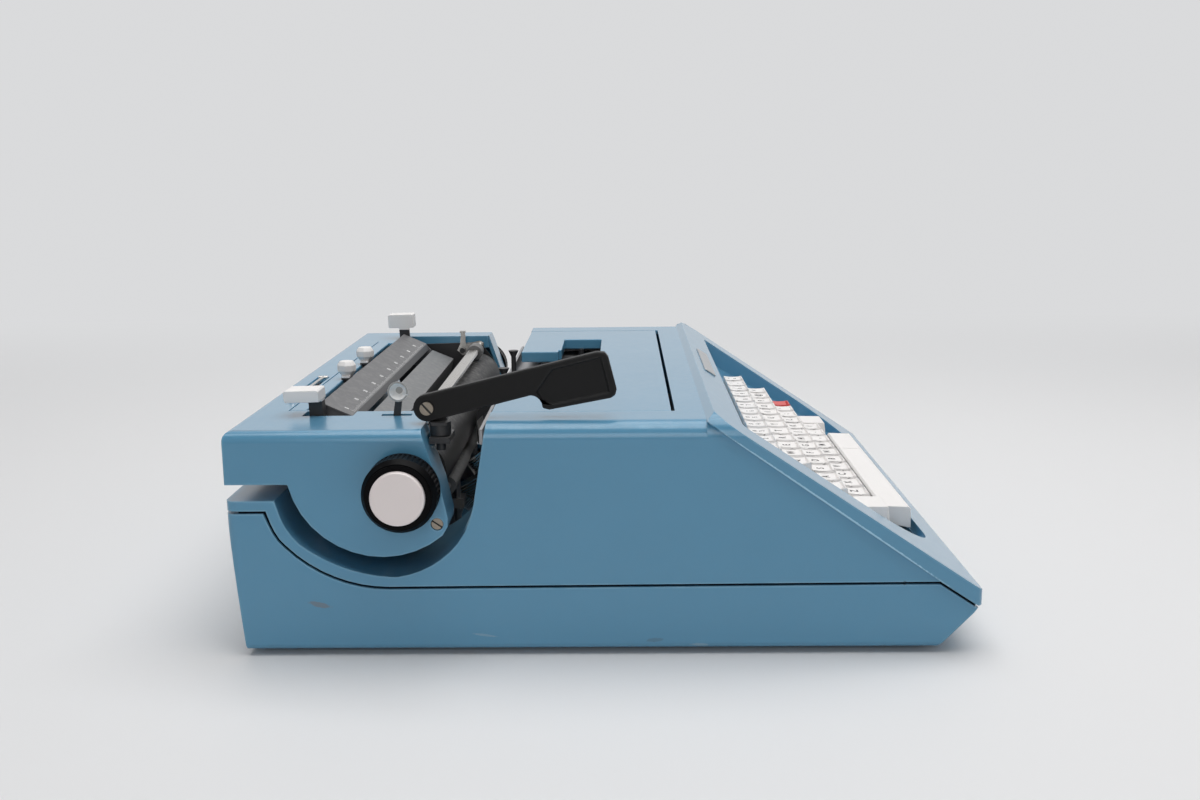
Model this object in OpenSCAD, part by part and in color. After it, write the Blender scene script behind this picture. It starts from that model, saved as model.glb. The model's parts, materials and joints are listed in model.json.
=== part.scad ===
// Manual typewriter with a moulded two-part case, a sliding carriage and a basket of typebars.
// X runs across the machine with the operator's left negative, Y to the rear, Z up from the table.

/* [Case] */
// Width across the side panels
body_w = 362; // [356:1:366]
// Rear face of the case, from the middle of its depth
rear_y = 191.4; // [190:0.1:193]
// Front edge of the nose
nose_y = -190.5; // [-192:0.1:-189]
// Height of the rubber feet
foot_h = 3; // [2:0.5:3.5]
// Wall thickness of the case mouldings
wall = 3; // [2.5:0.1:3]
// Height of the flat deck
deck_z = 121.5; // [120:0.5:122]
// Where the deck meets the ridge
crease_y = -51; // [-52:0.5:-50]
// Height of the keyboard frame at the nose
nose_z = 33.9; // [33:0.1:35]
// Rise of the keyboard frame for each millimetre to the rear
frame_slope = 0.6716; // [0.66:0.001:0.68]
// How far the keyboard frame stands out past the side panels
frame_proud = 2.5; // [2:0.1:3]
// Rounding between the deck and the side panels
deck_round = 9; // [7:0.5:10]
// Rounding at the ends of the ridge above the keyboard
ridge_round = 12; // [10:0.5:12.5]

/* [Keyboard well] */
// Width of the well
well_w = 310; // [306:1:312]
// Rear edge of the well
well_rear_y = -71.2; // [-72:0.1:-70]
// Front edge of the well
well_front_y = -175.2; // [-176:0.1:-175]
// Rounding of the well's two front corners
well_front_round = 38; // [30:1:40]
// Height of the well floor at its rear
well_floor_z = 98.5; // [98:0.1:99]
// Rise of the well floor for each millimetre to the rear
floor_slope = 0.588; // [0.58:0.001:0.595]

/* [Keys] */
// Spacing of the keys in a row
key_pitch = 19.05; // [19:0.05:19.05]
// Depth of a key top
key_d = 13; // [12:0.5:13]
// Width of a key top
key_w = 14; // [13:0.5:14]
// Height of a key cap
key_h = 8; // [7.5:0.5:8.5]
// Length of the space bar
space_w = 143; // [140:1:144]
// Length of the spacer key beside the space bar
spacer_w = 47; // [44:1:47]

/* [Carriage] */
// Height of the platen axis
platen_z = 88.9; // [88:0.1:90]
// Distance of the platen axis behind the middle
platen_y = 100.4; // [100:0.1:101]
// Radius of the platen
platen_r = 17; // [16.5:0.1:17]
// Radius of a platen knob
knob_r = 18.7; // [18:0.1:19]
// Height of the carriage cover
cover_z = 118; // [117.5:0.1:118.5]
// Inner edge of the left rail of the cover
left_rail_x = -130; // [-131:0.5:-129]
// Inner edge of the right rail of the cover
right_rail_x = 155; // [154:0.5:156]
// Depth of the hollow cheeks along X
cheek_d = 24; // [22:0.5:24]

/* [Type basket] */
// Number of typebars
bar_count = 45; // [41:2:45]
// Angle between typebars
bar_step = 2.9; // [2.8:0.05:2.9]
// Radius of the arc of pivots
pivot_r = 38; // [37:0.5:39]
// Length of a typebar from pivot to type
bar_l = 55; // [54:0.5:55]
// Swing of a typebar from rest to the platen
bar_swing = 72; // [70:1:72]

/* [Hidden] */
$fn = 48;

half = body_w / 2;
foot_x = [-145, 145];
foot_y = [-140, 160];
gap = 0.7;
lid_w = 304;
blue = [0.31, 0.50, 0.64];
ivory = [0.91, 0.90, 0.88];
black = [0.10, 0.10, 0.11];
steel = [0.55, 0.56, 0.58];
dark_grey = [0.30, 0.30, 0.31];

// Centres and radii of the round stretches in the side view, as [y, z, radius]
groove_arc = [110, 108.5, 72];
trough_rear_arc = [104, 124.2, 82];
trough_front_arc = [112, 90, 48.1];
cheek_arc = [112.5, 100.5, 47.5];

function arc(c, r, from, to, n) =
    [for (i = [0 : n]) let (a = from + (to - from) * i / n) [c[0] + r * cos(a), c[1] + r * sin(a)]];
function frame_z(y) = nose_z + frame_slope * (y - nose_y);
function floor_z(y) = well_floor_z + floor_slope * (y - well_rear_y);
function flip(list) = [for (i = [len(list) - 1 : -1 : 0]) list[i]];

// Extrudes a side view, drawn as [y, z], from x0 to x1
module across(x0, x1) {
    translate([x0, 0, 0]) rotate([90, 0, 90]) linear_extrude(x1 - x0) children();
}

// Extrudes a front view, drawn as [x, z], from y0 to y1
module along(y0, y1) {
    translate([0, y1, 0]) rotate([90, 0, 0]) linear_extrude(y1 - y0) children();
}

module upright(z0, z1) {
    translate([0, 0, z0]) linear_extrude(z1 - z0) children();
}

module block(x0, x1, y0, y1, z0, z1) {
    translate([x0, y0, z0]) cube([x1 - x0, y1 - y0, z1 - z0]);
}

// A rod along X
module rod(x0, x1, y, z, r) {
    translate([x0, y, z]) rotate([0, 90, 0]) cylinder(r = r, h = x1 - x0);
}

module post(x, y, z0, z1, r) {
    translate([x, y, z0]) cylinder(r = r, h = z1 - z0);
}

module round_rect(x0, x1, y0, y1, r) {
    translate([x0 + r, y0]) square([x1 - x0 - 2 * r, y1 - y0]);
    translate([x0, y0 + r]) square([x1 - x0, y1 - y0 - 2 * r]);
    for (x = [x0 + r, x1 - r], y = [y0 + r, y1 - r]) translate([x, y]) circle(r);
}

module both_sides() {
    children();
    mirror([1, 0, 0]) children();
}

// Parting line between the mouldings from rear to nose, raised by s
function parting(s) = concat(
    [[rear_y + 1, 76.6 + s], [171.5 - s, 76.6 + s]],
    [[169.7 - s, 71.4 + 0.4 * s], [167.6 - 0.95 * s, 66.4 + 0.45 * s], [165.1 - 0.87 * s, 62.1 + 0.5 * s]],
    arc(groove_arc, groove_arc[2] - s, -44, -90, 8),
    [[-168.8, 37.7 + s], [nose_y + 2.4, 24.9 + s]]);

// Rolled edge of the trough under the carriage, from the deck to the ledge, lowered by s
function trough(s) = concat(
    [[58.8 - s, deck_z + 1], [64.4 - s, 89], [66 - s, 79.6], [68 - 0.95 * s, 72.2 - 0.2 * s],
        [70.7 - 0.88 * s, 65.8 - 0.4 * s]],
    arc(trough_front_arc, trough_front_arc[2] + s, 219, 262, 6),
    arc(trough_rear_arc, trough_rear_arc[2] + s, 274, 308, 7),
    [[158.4 + 0.7 * s, 64 - 0.7 * s], [161.4 + 0.85 * s, 68.6 - 0.5 * s],
        [163.6 + 0.92 * s, 73.6 - 0.4 * s],
        [166.3 + s, 82.5 - s], [rear_y + 1, 82.5 - s]]);

// Case mouldings

module base_shell() color(blue) difference() {
    intersection() {
        across(-half, half) polygon(concat(parting(-gap), [[nose_y + 1.8, 24.2], [-168.4, foot_h],
            [185, foot_h], [rear_y, 76.6 - gap]]));
        upright(0, 90) round_rect(-half, half, nose_y, rear_y, 5);
        along(-200, 200) round_rect(-half, half, foot_h, 95, 4);
    }
    across(-half + wall, half - wall) polygon([[182.3, foot_h + wall], [187.2, 95], [-185, 95],
        [-185, 25], [-167, foot_h + wall]]);
    for (x = [-120 : 24 : 120]) block(x - 7, x + 7, 184, 192, 18, 21);
    for (x = foot_x, y = foot_y) post(x, y, 0, 20, 3);
}

module hood_outline() {
    polygon(concat(parting(gap), [[nose_y + 0.2, 26.2], [nose_y, nose_z], [-55, frame_z(-55)],
        [crease_y, deck_z], [58.8, deck_z]], trough(0)));
}

module hood_cavity() {
    polygon(concat([[-50.5, deck_z - wall], [-54, frame_z(-54) - 3.7], [nose_y + 3, nose_z - 2],
        [nose_y + 3, 10], [rear_y - wall, 10], [rear_y - wall, 82.5 - wall]],
        flip([for (p = trough(wall)) if (p[1] < deck_z && p[0] < 168) p]), [[56, deck_z - wall]]));
}

// The key opening follows the rows, with one slot for the bar keys
module key_openings() {
    for (r = [0 : 3]) block(row_x(r, 0) - 12 - left_extra[r], row_x(r, row_n[r] - 1) + 12 + right_extra[r],
        row_y(r) - (r == 3 ? 14.3 : 10.5), row_y(r) + 8.7, 20, 120);
    block(bar_x0 - 3, bar_x0 + space_w + spacer_w + 4, bar_y0 - 2.2, row_y(3) - 8, 20, 120);
}

// Outline of the keyboard well from above, grown by s, with wide front corners and close rear ones
module well_outline(s) {
    intersection() {
        round_rect(-well_w / 2 - s, well_w / 2 + s, well_front_y - s, 0, well_front_round + s);
        round_rect(-well_w / 2 - s, well_w / 2 + s, -300, well_rear_y + s, 3 + s);
    }
}

module upper_shell() color(blue) difference() {
    union() {
        difference() {
            intersection() {
                across(-half, half) hood_outline();
                upright(0, 130) round_rect(-half, half, nose_y, rear_y, 5);
                union() {
                    along(-200, crease_y) round_rect(-half, half, -20, frame_z(-55), ridge_round);
                    along(crease_y - 0.1, 200) round_rect(-half, half, -20, deck_z, deck_round);
                }
            }
            across(-half + wall, half - wall) hood_cavity();
        }
        // Lap inside the side panels that closes the groove between the mouldings
        intersection() {
            both_sides() across(-half + 1.6, -half + wall) polygon(concat(parting(gap),
                flip(parting(-gap))));
            upright(0, 130) round_rect(-half, half, nose_y + 2, rear_y - 5, 5);
        }
        // Keyboard frame band, proud of the side panels
        intersection() {
            both_sides() across(half - wall, half + frame_proud) polygon([[crease_y, deck_z - 0.1],
                [-55, frame_z(-55)], [nose_y, nose_z], [nose_y + 0.2, 26.2], [-188, 26.2], [-168.6, 39.1],
                [-58.2, 116.5]]);
            upright(0, 130) round_rect(-half - frame_proud, half + frame_proud, nose_y, rear_y, 5);
            along(-200, crease_y) round_rect(-half - frame_proud, half + frame_proud, -20, frame_z(-55),
                ridge_round);
        }
        // Walls and floor of the keyboard well
        intersection() {
            upright(20, 130) well_outline(2.5);
            across(-well_w / 2 - 3, well_w / 2 + 3) polygon([for (y = [well_front_y - 2.5,
                well_rear_y + 2.5])
                [y, frame_z(y) - 1], for (y = [well_rear_y + 2.5, well_front_y - 2.5]) [y,
                    floor_z(y) - 2.5]]);
        }
    }
    // Inside of the well
    intersection() {
        upright(20, 140) well_outline(0);
        across(-well_w / 2, well_w / 2) polygon([for (y = [well_front_y - 1, well_rear_y + 1]) [y,
            frame_z(y) + 9],
            for (y = [well_rear_y + 1, well_front_y - 1]) [y, floor_z(y)]]);
    }
    key_openings();
    // Seat of the ribbon cover, with an open slot along its front edge
    block(-lid_w / 2 - 0.2, lid_w / 2 + 0.2, -36.2, 62, deck_z - 4.5, deck_z + 5);
    block(-lid_w / 2 + 3, lid_w / 2 - 3, -30, 62, deck_z - 12, deck_z + 5);
    // Open rear of the hood and the opening in the trough for the carriage bed
    block(-half + 12, half - 12, 50, 90, 62, deck_z - 6);
    block(-110, 110, 60, 148, 30, 75);
}

module typing_opening() {
    block(-50, 50, 33, 70, deck_z - 20, deck_z + 5);
    block(-58, 58, 31, 34, deck_z - 20, deck_z + 5);
    block(-108, 108, 5.5, 32, deck_z - 20, deck_z + 5);
}

module ribbon_cover() color(blue) difference() {
    union() {
        block(-lid_w / 2 + 0.2, lid_w / 2 - 0.2, -34.5, 58.8, deck_z - 2.5, deck_z);
        // Skirt along the rear and round the typing opening
        block(-lid_w / 2 + 4, lid_w / 2 - 4, 56.3, 58.8, deck_z - 7, deck_z);
        block(-52, 52, 29, 58.8, deck_z - 7, deck_z);
        block(-60, 60, 29, 36, deck_z - 7, deck_z);
        block(-110, 110, 3.5, 34, deck_z - 7, deck_z);
    }
    typing_opening();
}

// Bare metal plate on the slope above the keyboard
module name_plate() color([0.72, 0.73, 0.75]) {
    translate([14, -63, frame_z(-63)]) rotate([atan(frame_slope), 0, 0])
        linear_extrude(0.8) round_rect(-42, 42, -4, 4, 1);
}

module rubber_feet() color(black) {
    for (x = foot_x, y = foot_y) {
        post(x, y, 0, foot_h, 9);
        post(x, y, foot_h, foot_h + wall, 3);
    }
}

// Chassis

module side_frames() color(steel) both_sides() difference() {
    across(146.4, 148) polygon([[-62, 8], [170, 8], [176, 34], [100, 30], [78, 36], [62, 60], [60, 114],
        [6, 114], [-20, 90], [-62, 62]]);
    rod(145, 149, fulcrum_y, fulcrum_z, 2.2);
}

module cross_bars() color(steel) {
    rod(-146.4, 146.4, -55, 11.2, 3);
    rod(-146.4, 146.4, 158, 15, 4);
    // Angle bar under the rear edge of the deck
    across(-146.4, 146.4) polygon([[50, 103], [66, 103], [66, 111], [64.4, 111], [64.4, 104.6],
        [50, 104.6]]);
    // Feet of the chassis on the floor of the case
    both_sides() for (y = [-50, 150]) block(138, 148, y - 8, y + 8, foot_h + wall, foot_h + wall + 2);
    // Posts that the type basket slides down
    for (x = [-basket_post_x, basket_post_x]) post(x, basket_post_y, foot_h + wall, 62, 2);
}

// Fixed bed that the carriage rail runs on
module carriage_bed() color(steel) {
    across(-44, 44) polygon([[118, 8], [150, 8], [150, 12], [137, 16], [137, 48], [146, 50], [146, 57],
        [122, 57], [122, 50], [131, 48], [131, 16], [118, 12]]);
    // Floor plate with the pins of the mainspring drum and the escape wheel
    block(-52, 92, 104, 150, foot_h + wall, 8);
    post(70, 128, 8, 24, 2.95);
    post(wheel_x, wheel_y, 8, 21.7, 3.4);
    post(wheel_x, wheel_y, 8, 61, 2);
}

module spring_drum() color(steel) {
    translate([70, 128, 8.3]) difference() {
        cylinder(r = 19, h = 14);
        translate([0, 0, 5]) rotate_extrude() translate([17.5, 0]) square([3, 5]);
        translate([0, 0, -1]) cylinder(r = 3, h = 20);
    }
}

rack_pitch = 5.08;
wheel_x = -8 * rack_pitch;
wheel_y = 112.2;

// Ratchet of the escapement, with the pinion that meets the rack of the carriage
module escape_wheel() color(steel) translate([wheel_x, wheel_y, 22]) difference() {
    union() {
        cylinder(r = 13, h = 2);
        for (a = [0 : 20 : 340]) rotate(a) linear_extrude(2) polygon([[12.5, -1.6], [15, -1.6],
            [12.5, 1.8]]);
        cylinder(r = 3.6, h = 38.2);
        for (a = [0 : 60 : 300]) rotate(a) translate([-0.5, 3, 36.2]) cube([1, 2.4, 2]);
    }
    translate([0, 0, -1]) cylinder(r = 2.06, h = 50);
}

module bell() color([0.75, 0.70, 0.55]) translate([-112, 90, 10]) difference() {
    union() {
        intersection() {
            sphere(17);
            translate([0, 0, 4]) cylinder(r = 20, h = 20);
        }
        cylinder(r = 3, h = 8);
        translate([0, 0, -4]) cylinder(r = 5, h = 4);
    }
    intersection() {
        difference() {
            sphere(15.4);
            cylinder(r = 3, h = 20);
        }
        translate([0, 0, 3]) cylinder(r = 20, h = 20);
    }
}

// Type basket: pivots lie on an arc in a tilted plane, and every bar meets the same point on the platen

type_y = platen_y - platen_r - 2.4;
strike_a = acos(pivot_r / bar_l);
basket_tilt = 90 - strike_a;
basket_y = type_y + pivot_r * sin(strike_a);
basket_z = platen_z - bar_l + pivot_r * cos(strike_a);
rest_a = 180 - strike_a - bar_swing;
bar_fan = (bar_count - 1) / 2 * bar_step;
basket_post_x = 46;
basket_post_y = 92;

module in_basket(fan) {
    translate([0, basket_y, basket_z]) rotate([basket_tilt, 0, 0]) rotate([0, 0, fan]) children();
}

module one_typebar(fan) {
    in_basket(fan) translate([0, -pivot_r, 0]) rotate([-rest_a, 0, 0]) {
        difference() {
            across(-0.3, 0.3) polygon([[2.4, -2.2], [2.4, 2.2], [-bar_l * 0.45, 2.6], [-bar_l + 2, 1.5],
                [-bar_l + 2, -1.5], [-bar_l * 0.45, -1.2]]);
            rod(-1, 1, 0, 0, 0.6);
        }
        block(-1.3, 1.3, -bar_l - 2.5, -bar_l + 2.5, -1.6, 1.6);
    }
}

module type_segment() color(steel) {
    difference() {
        union() {
            in_basket(-90 - bar_fan - 4) rotate_extrude(angle = 2 * bar_fan + 8)
                translate([31, -6]) square([11, 8]);
            for (s = [-1, 1]) in_basket(s * (bar_fan + 3)) translate([0, -36.5, -6]) cylinder(r = 5, h = 8);
            both_sides() block(37, basket_post_x + 4, 88, 100, 41, 47);
        }
        both_sides() post(basket_post_x, basket_post_y, 30, 70, 2.06);
        for (i = [0 : bar_count - 1]) in_basket((i - (bar_count - 1) / 2) * bar_step)
            block(-0.6, 0.6, -43, -32.2, -4.8, 3);
    }
    // Wire that the typebars turn on
    in_basket(-90 - bar_fan - 4) rotate_extrude(angle = 2 * bar_fan + 8) translate([pivot_r, 0]) circle(0.5);
}

module typebars() color(steel) {
    middle = (bar_count - 1) / 2;
    for (i = [0 : bar_count - 1]) if (i != middle) one_typebar((i - middle) * bar_step);
}

module centre_typebar() color(steel) one_typebar(0);

// Card holder at the printing point: two plates with a gap for the type between them, each hung by
// its arm from the bar under the deck, and two ribbon posts
module type_guide() color(dark_grey) {
    both_sides() {
        across(4, 34) polygon([[79.2, 78], [80, 78], [81, 92], [79.4, 99], [78.6, 99], [80.2, 92]]);
        across(31, 34) polygon([[80.2, 92], [81, 92], [79.4, 99], [66, 110.8], [66, 104], [76, 96]]);
    }
    for (x = [-35, 35]) {
        post(x, 62.8, 104.6, 124, 1.6);
        translate([x, 62.8, 121]) cylinder(r1 = 1.6, r2 = 3.4, h = 4, $fn = 24);
    }
}

// Fork that lifts the ribbon, with its bridge behind the path of the typebars
module ribbon_vibrator() color(steel) {
    for (x = [-13, 5]) block(x, x + 8, 76.2, 77, 66, 84);
    for (x = [-13, 10]) {
        block(x, x + 3, 76.2, 77, 46, 84);
        block(x, x + 3, 76.2, 84.8, 46, 52);
    }
    block(-13, 13, 84, 84.8, 46, 52);
}

spool_x = 105;
spool_y = 20;

module spool(x) translate([x, spool_y, 96]) {
    difference() {
        union() {
            cylinder(r = 24, h = 1);
            translate([0, 0, 13]) cylinder(r = 24, h = 1);
            cylinder(r = 8, h = 14);
            translate([0, 0, 1]) cylinder(r = x < 0 ? 21 : 15, h = 12);
        }
        translate([0, 0, -1]) cylinder(r = 2.1, h = 20);
        for (a = [0 : 60 : 300]) rotate(a) translate([5, 0, -1]) cylinder(r = 1.4, h = 20);
    }
}

module ribbon_spool_left() color(black) spool(-spool_x);

module ribbon_spool_right() color(black) spool(spool_x);

module spool_cups() color(dark_grey) both_sides() translate([spool_x, spool_y, 0]) {
    difference() {
        translate([0, 0, 92]) cylinder(r = 27.5, h = 12);
        translate([0, 0, 93.5]) cylinder(r = 26.2, h = 12);
        block(-40, 0, 8, 40, 93.5, 110);
    }
    translate([0, 0, 92]) cylinder(r = 2, h = 23);
    block(20, 146.4 - spool_x, -12, 12, 90.5, 92.5);
}

// Keyboard: every lever turns on one fulcrum rod

fulcrum_y = 40;
fulcrum_z = 32;
row_first = [-127, -117.5, -112.7, -105];
row_n = [12, 12, 11, 10];
left_extra = [0, 0, key_pitch, key_pitch + 5];
right_extra = [0, 0, key_pitch, key_pitch + 7];
row_pitch = 17.4;
row_rise = 10.4;
top_z = 65.5;
last_row_y = -139.7;
bar_x0 = -100;
bar_y0 = -172;
bar_top = 54.5;
bar_skirt = 12.2;

function row_y(r) = last_row_y + (3 - r) * row_pitch;
function row_top(r) = top_z + (3 - r) * row_rise;
function row_x(r, k) = row_first[r] + k * key_pitch;

// One key cap with a dished top, its middle at x and y
module cap(x, y, z, w, d) {
    intersection() {
        along(y - 12, y + 12) polygon([[x - w / 2 - 1.4, z - key_h], [x - w / 2, z + 1], [x + w / 2, z + 1],
            [x + w / 2 + 1.4, z - key_h]]);
        across(x - w, x + w) polygon(concat([[y - d / 2 - 0.5, z - key_h], [y - d / 2, z - 0.6]],
            arc([y, z + 28], 28.2, 270 - 12, 270 + 12, 6), [[y + d / 2, z + 0.6],
                [y + d / 2 + 0.5, z - key_h]]));
        upright(z - key_h - 1, z + 2) round_rect(x - w / 2 - 1.4, x + w / 2 + 1.4, y - d / 2 - 0.5,
            y + d / 2 + 0.5, 2.5);
    }
}

// A lever from the fulcrum with its stem up to the cap
module lever(x, y, z) {
    difference() {
        across(x - 0.6, x + 0.6) polygon([[fulcrum_y + 6, fulcrum_z - 4],
            [fulcrum_y + 6, fulcrum_z + 4], [y + 7, 28], [y + 4, 32], [y + 4, z - key_h],
                [y - 4, z - key_h], [y - 4, 24], [y + 2, 21]]);
        rod(x - 2, x + 2, fulcrum_y, fulcrum_z, 2.06);
    }
}

module row_caps(r, skip) {
    for (k = [0 : row_n[r] - 1]) if (k != skip) cap(row_x(r, k), row_y(r), row_top(r), key_w, key_d);
}

module row_bars(r, skip) {
    for (k = [0 : row_n[r] - 1]) if (k != skip) lever(row_x(r, k), row_y(r), row_top(r));
}

module key_fulcrum() color(steel) {
    rod(-146.4, 146.4, fulcrum_y, fulcrum_z, 2);
    // Rest bar under the levers, faced with felt
    across(-146.4, 146.4) polygon([[-8, 11], [6, 11], [6, 18], [-8, 18]]);
}

module row_1_keys() color(ivory) row_caps(0, -1);
module row_2_keys() color(ivory) row_caps(1, -1);
module row_3_keys() color(ivory) row_caps(2, 4);
module row_4_keys() color(ivory) row_caps(3, -1);
module row_1_levers() color(steel) row_bars(0, -1);
module row_2_levers() color(steel) row_bars(1, -1);
module row_3_levers() color(steel) row_bars(2, 4);
module row_4_levers() color(steel) row_bars(3, -1);

module centre_key() color(ivory) {
    cap(row_x(2, 4), row_y(2), row_top(2), key_w, key_d);
    lever(row_x(2, 4), row_y(2), row_top(2));
}

module lock_key() color(ivory) {
    cap(row_x(2, -1), row_y(2), row_top(2), key_w, key_d);
    lever(row_x(2, -1), row_y(2), row_top(2));
}

module tab_key() color([0.84, 0.31, 0.31]) {
    cap(row_x(2, 11), row_y(2), row_top(2), key_w, key_d);
    lever(row_x(2, 11), row_y(2), row_top(2));
}

// Bar keys share one section: flat top, soft rear edge, deep front face
module bar_section() {
    polygon([[bar_y0, bar_top - bar_skirt], [bar_y0 + 0.4, bar_top - 1], [bar_y0 + 1.4, bar_top],
        [bar_y0 + 15.6, bar_top + 0.6], [bar_y0 + 16.8, bar_top - 0.6], [bar_y0 + 17.4, bar_top - 8],
        [bar_y0 + 15, bar_top - 8], [bar_y0 + 14.4, bar_top - 2.4], [bar_y0 + 2.4, bar_top - 2.8],
        [bar_y0 + 2.2, bar_top - bar_skirt]]);
}

module bar_key(x0, x1) {
    across(x0, x1) bar_section();
    for (x = [x0, x1 - 2]) across(x, x + 2) polygon([[bar_y0 + 1, bar_top - bar_skirt],
        [bar_y0 + 1, bar_top - 1.5],
        [bar_y0 + 16, bar_top - 1.5], [bar_y0 + 16.4, bar_top - 8], [bar_y0 + 12, bar_top - 10]]);
}

// An arm from the fulcrum to the underside of a bar key
module bar_arm(x) {
    difference() {
        across(x - 0.8, x + 0.8) polygon([[fulcrum_y + 6, fulcrum_z - 4],
            [fulcrum_y + 6, fulcrum_z + 4], [-140, 28], [-158, 34], [-160, bar_top - 2.47],
                [-168, bar_top - 2.74], [-166, 24], [-150, 21]]);
        rod(x - 2, x + 2, fulcrum_y, fulcrum_z, 2.06);
    }
}

module space_bar() color(ivory) bar_key(bar_x0, bar_x0 + space_w);

module space_arms() color(steel) for (x = [-83, 12.5]) bar_arm(x);

module spacer_key() color(ivory) {
    bar_key(bar_x0 + space_w + 0.6, bar_x0 + space_w + 0.6 + spacer_w);
    bar_arm(bar_x0 + space_w + 27);
}

shift_y = -143;
left_shift_x = -127;
right_shift_x = 89;
// The levers stand beside the middles of the shift keys, clear of the other levers
shift_lever_x = [-122.2, 87.5];

module shift_cap(x, w) {
    intersection() {
        along(shift_y - 12, shift_y + 12) polygon([[x - w / 2 - 1.2, top_z - 9], [x - w / 2, top_z],
            [x + w / 2, top_z], [x + w / 2 + 1.2, top_z - 9]]);
        across(x - w, x + w) polygon([[shift_y - 9.2, top_z - 9], [shift_y - 8, top_z - 0.6], [shift_y - 7,
            top_z - 0.2], [shift_y + 7, top_z], [shift_y + 8, top_z - 0.8], [shift_y + 9.4, top_z - 9]]);
        upright(top_z - 10, top_z + 1) round_rect(x - w / 2 - 1.2, x + w / 2 + 1.2, shift_y - 9.2,
            shift_y + 9.4, 4);
    }
}

module left_shift_key() color(ivory) shift_cap(left_shift_x, 21);

module right_shift_key() color(ivory) shift_cap(right_shift_x, 23);

module shift_frame() color(steel) {
    for (x = shift_lever_x) difference() {
        across(x - 0.8, x + 0.8) polygon([[60, 20], [60, 28], [fulcrum_y + 6, fulcrum_z + 4],
            [shift_y + 7, 28], [shift_y + 4,
            32], [shift_y + 4, top_z - 9], [shift_y - 4, top_z - 9], [shift_y - 4, 24], [shift_y + 2, 21],
            [fulcrum_y + 6, 21]]);
        rod(x - 2, x + 2, fulcrum_y, fulcrum_z, 2.06);
    }
    rod(shift_lever_x[0], shift_lever_x[1], 56.5, 23.5, 2.2);
}

// Carriage cover: a U in plan with two hollow cheeks that hang over the trough

rail_y0 = 92;
slot_y = 160;
insert_x = [-127, 128];
insert_y = 170.5;
selector_x = -140;
cheek_screw = [84.6, 70];
bail_pivot = [111, 108.3];

// Side view of a cheek, drawn inward by d
function cheek(d) = concat(
    [[rear_y - 0.6 - d, 91 + d], [159.3 - d, 91 + d]],
    arc(cheek_arc, cheek_arc[2] - d, -12, -130, 12),
    [[79.3 + d, 68.6 + d * 0.3], [79 + d, 73], [82.6 + d, 90.1], [rail_y0 - 0.3 + d, cover_z - d]],
    arc([rear_y - 4.6, cover_z - 4], 4 - min(d, 3), 90, 0, 4));

module carriage_cover() color(blue) difference() {
    intersection() {
        union() {
            both_sides() difference() {
                across(-half, -half + cheek_d) polygon(cheek(0));
                across(-half + 2.5, -half + cheek_d + 1) polygon(cheek(2.5));
            }
            // Rails and rear panel
            block(-half, left_rail_x, rail_y0, rear_y - 5, cover_z - 2.5, cover_z);
            block(right_rail_x, half, rail_y0, rear_y - 5, cover_z - 2.5, cover_z);
            block(left_rail_x - 2, left_rail_x, 118, 140, cover_z - 9, cover_z);
            block(right_rail_x, right_rail_x + 2, rail_y0, 158, cover_z - 9, cover_z);
            across(-half + 1, half - 1) difference() {
                polygon(cheek(0));
                polygon(cheek(2.5));
                square([157, 300]);
                square([300, 91.1]);
                translate([0, 91]) square([188, 24.5]);
            }
        }
        along(0, 200) round_rect(-half, half, 40, cover_z, 6);
    }
    block(insert_x[0] - 0.4, insert_x[1] + 0.4, 150, insert_y + 0.4, cover_z - 4, cover_z + 1);
    // Recess for the paper support, slots for the selector and the paper release
    block(-102, -21.5, 172.5, 180, cover_z - 1.7, cover_z + 1);
    block(-96, -30, 174.4, 178, cover_z - 5, cover_z + 1);
    block(selector_x - 2.5, selector_x + 2.5, 102, 118, cover_z - 12, cover_z + 1);
    block(-141.5, left_rail_x + 1, 133, 160, cover_z - 12, cover_z + 1);
    rod(-half - 1, -half + 4, platen_y, platen_z, 7.5);
    rod(half - 4, half + 1, platen_y, platen_z, 7.5);
    rod(-half - 1, -half + 4, cheek_screw[0], cheek_screw[1], 3.2);
    rod(half - 4, half + 1, cheek_screw[0], cheek_screw[1], 3.2);
}

module cover_insert() color(blue) difference() {
    union() {
        block(insert_x[0], insert_x[1], 157, insert_y, cover_z - 2.5, cover_z);
        block(insert_x[0], insert_x[1], 157, 158.2, cover_z - 9, cover_z);
        // Tabs under the rear panel
        for (x = [-120, -10, 100]) block(x, x + 20, insert_y - 4, insert_y + 8, cover_z - 5.2,
            cover_z - 2.5);
    }
    block(-125, 122, slot_y - 1.8, slot_y + 1.8, cover_z - 10, cover_z + 1);
}

module end_plates() color(black) {
    both_sides() difference() {
        across(-154, -152) polygon([[86, 60], [150, 60], [158, 76], [164, 98], [164, 112],
            [98, 113.5], [88, 100],
            [83, 80], [82, 66]]);
        rod(-155, -151, platen_y, platen_z, 4.08);
        rod(-155, -151, 90, 69.2, 2.06);
        rod(-155, -151, 116.2, 73.2, 2.06);
        rod(-155, -151, 134, 104, 2.06);
    }
    // Pivot rods of the bail and the selector, and the rail of the margin stops
    rod(-152, -122, bail_pivot[0], bail_pivot[1], 2);
    rod(145, 152, bail_pivot[0], bail_pivot[1], 2);
    rod(-152, 152, slot_y, 105, 2);
    // Bracket of the return lever
    difference() {
        union() {
            block(-172, -152, 78, 88.4, 109.5, 112.5);
            block(-156.4, -152, 78, 99, 109.5, 112.5);
        }
        post(lever_x, lever_y, 100, 120, 2.56);
    }
}

module carriage_rail() color(steel) {
    across(-152, 152) polygon([[120, 58.3], [148, 58.3], [148, 66], [146.4, 66], [146.4, 60], [121.6, 60],
        [121.6, 66], [120, 66]]);
    // Toothed rack of the escapement
    difference() {
        across(-120, 120) translate([116.5, 58.3]) square([3.5, 2]);
        for (i = [-23 : 23]) block(i * rack_pitch - 1.4, i * rack_pitch + 1.4, 116, 117.8, 58, 61);
    }
}

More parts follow.
